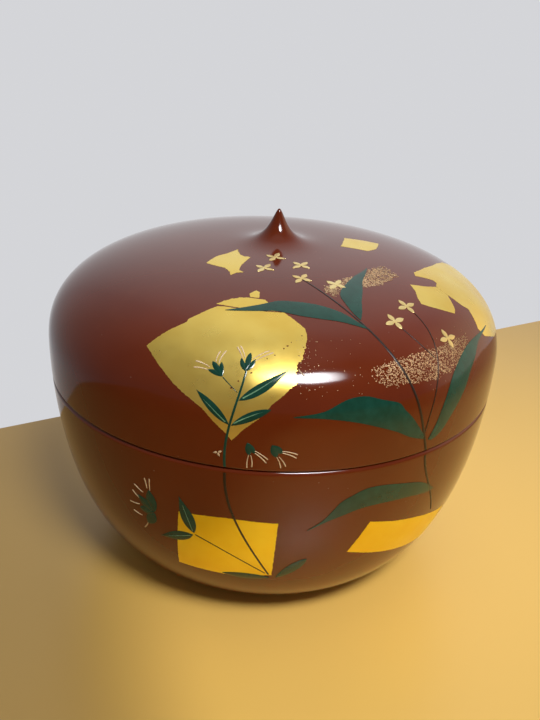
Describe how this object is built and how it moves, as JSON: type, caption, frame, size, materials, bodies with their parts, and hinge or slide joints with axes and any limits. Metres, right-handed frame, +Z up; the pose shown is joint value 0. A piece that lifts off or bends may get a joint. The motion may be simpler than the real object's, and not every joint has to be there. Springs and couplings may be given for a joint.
{
  "type": "tea caddy",
  "caption": "Round lacquered tea caddy with a lift-off domed lid that rises to a small point, and gold foil and painted leaves over the joint.",
  "frame": {"origin": "centre of the foot, on the surface that the caddy stands on", "axes": "+Z up through the point of the lid, -Y towards the decorated front, +X to the right seen from the front"},
  "size_m": [0.084, 0.0844, 0.0669],
  "materials": {
    "turned_wood": "matte",
    "red_lacquer": "high gloss",
    "black_lacquer": "gloss",
    "gold_foil": "satin",
    "deep_gold_foil": "satin",
    "gold_dust": "sparkling",
    "gold_paint": "satin",
    "green_paint": "satin",
    "brown_paint": "satin",
    "cream_paint": "satin"
  },
  "bodies": {
    "body": {"body_core": "turned_wood", "body_outer_lacquer": "red_lacquer", "body_inner_lacquer": "black_lacquer", "base_lacquer": "black_lacquer", "lip_ring": "black_lacquer", "body_square_foil": "deep_gold_foil", "body_slant_foil": "deep_gold_foil", "body_thick_stem": "brown_paint", "body_long_leaf": "green_paint", "body_thin_stems": "brown_paint", "body_sprig_leaves": "green_paint", "body_foot_leaves": "green_paint", "body_side_bud": "green_paint", "body_side_stamens": "cream_paint"},
    "lid": {"lid_core": "turned_wood", "lid_outer_lacquer": "red_lacquer", "lid_inner_lacquer": "black_lacquer", "lid_fan_foil": "gold_foil", "lid_torn_foil": "gold_foil", "lid_foil_flake": "gold_foil", "lid_crown_foil": "gold_foil", "lid_back_foil": "gold_foil", "lid_side_foil": "gold_foil", "lid_corner_foil": "gold_foil", "lid_upper_dust": "gold_dust", "lid_lower_dust": "gold_dust", "lid_thick_stem": "brown_paint", "lid_long_leaf": "green_paint", "lid_upright_leaf": "green_paint", "lid_broad_leaf": "green_paint", "lid_side_leaf": "green_paint", "lid_florets": "gold_paint", "lid_floret_stalks": "brown_paint", "lid_sprig_stem": "green_paint", "lid_sprig_leaves": "green_paint", "lid_sprig_buds": "green_paint", "lid_sprig_stamens": "cream_paint", "lid_hanging_buds": "green_paint", "lid_hanging_stamens": "cream_paint", "lid_speck_floret": "cream_paint"}
  },
  "joints": [
    {"name": "lid_lift", "type": "slide", "parent": "body", "child": "lid", "axis": [0, 0, 1], "range_m": [0, 0.06]}
  ]
}
